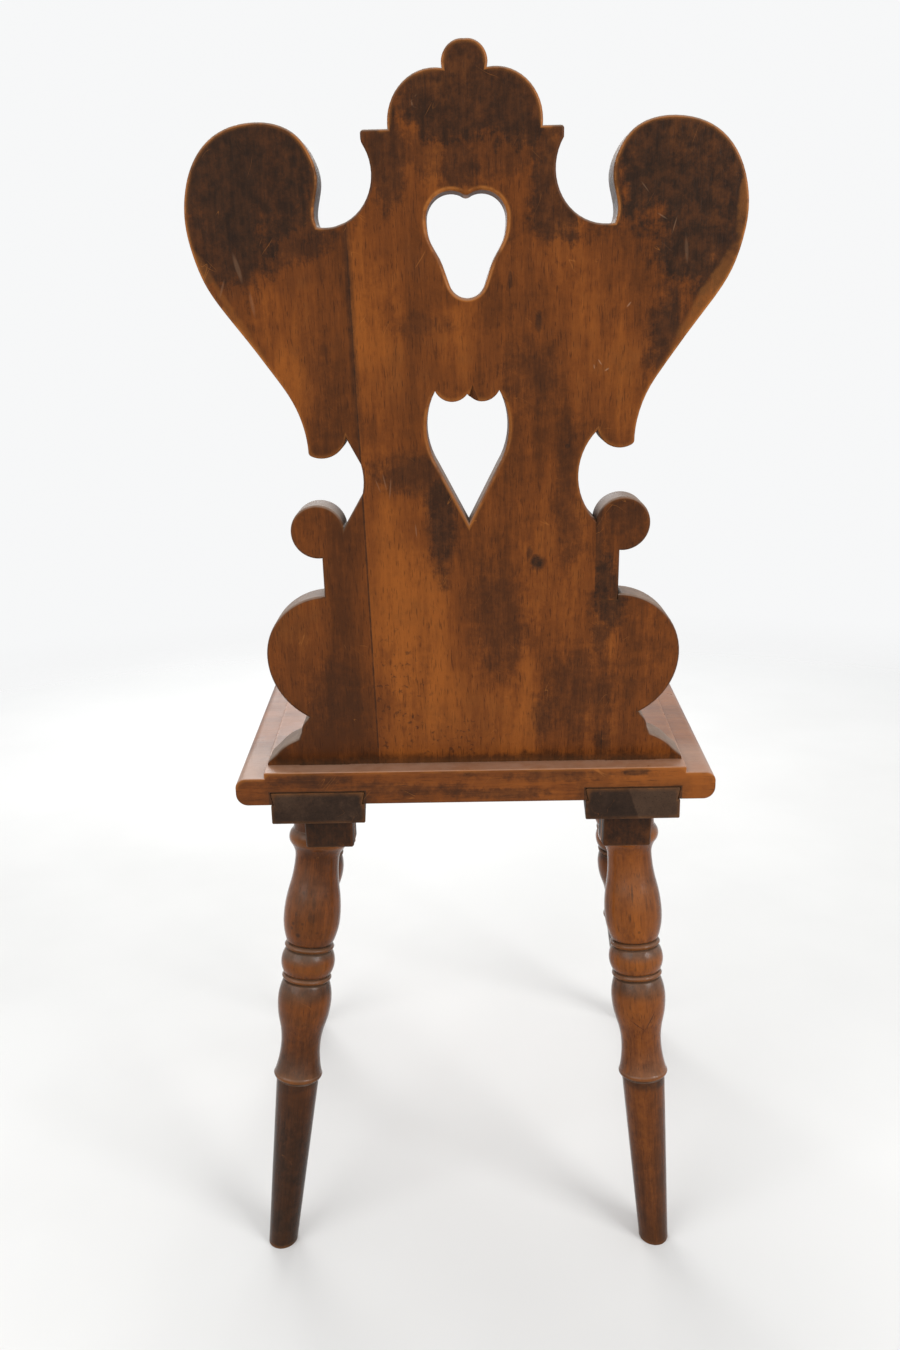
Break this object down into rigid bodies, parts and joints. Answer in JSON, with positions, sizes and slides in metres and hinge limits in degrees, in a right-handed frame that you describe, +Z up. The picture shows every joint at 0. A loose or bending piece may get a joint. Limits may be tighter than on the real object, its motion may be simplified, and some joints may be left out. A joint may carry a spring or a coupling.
{
  "type": "board chair",
  "caption": "Solid wood chair with a scroll-cut back board with heart cut-outs, tenoned through a plank seat on two dovetailed battens and splayed turned legs.",
  "frame": {"origin": "on the floor, under the middle of the chair's bounding box", "axes": "+Z up, the sitter faces -Y, so +X is at the sitter's left; the back board leans towards +Y"},
  "size_m": [0.4382, 0.414, 0.9648],
  "materials": {
    "back_wood": "waxed, dark patina, worn edges",
    "repair_wood": "darker let-in piece, waxed",
    "seat_wood": "waxed, worn",
    "batten_wood": "raw end grain, dusty",
    "leg_wood": "turned, semi-gloss wax",
    "wedge_wood": "split hardwood, raw"
  },
  "bodies": {
    "root": {"seat_board": "seat_wood", "batten_left": "batten_wood", "batten_right": "batten_wood", "back_board": "back_wood", "wing_stave_left": "back_wood", "side_stave_left": "back_wood", "ear_right": "repair_wood", "tenon_wedge_left": "wedge_wood", "tenon_wedge_right": "wedge_wood", "leg_rear_left": "leg_wood", "leg_rear_right": "leg_wood", "leg_front_left": "leg_wood", "leg_front_right": "leg_wood", "leg_wedge_rear_left": "wedge_wood", "leg_wedge_rear_right": "wedge_wood", "leg_wedge_front_left": "wedge_wood", "leg_wedge_front_right": "wedge_wood"}
  },
  "joints": []
}
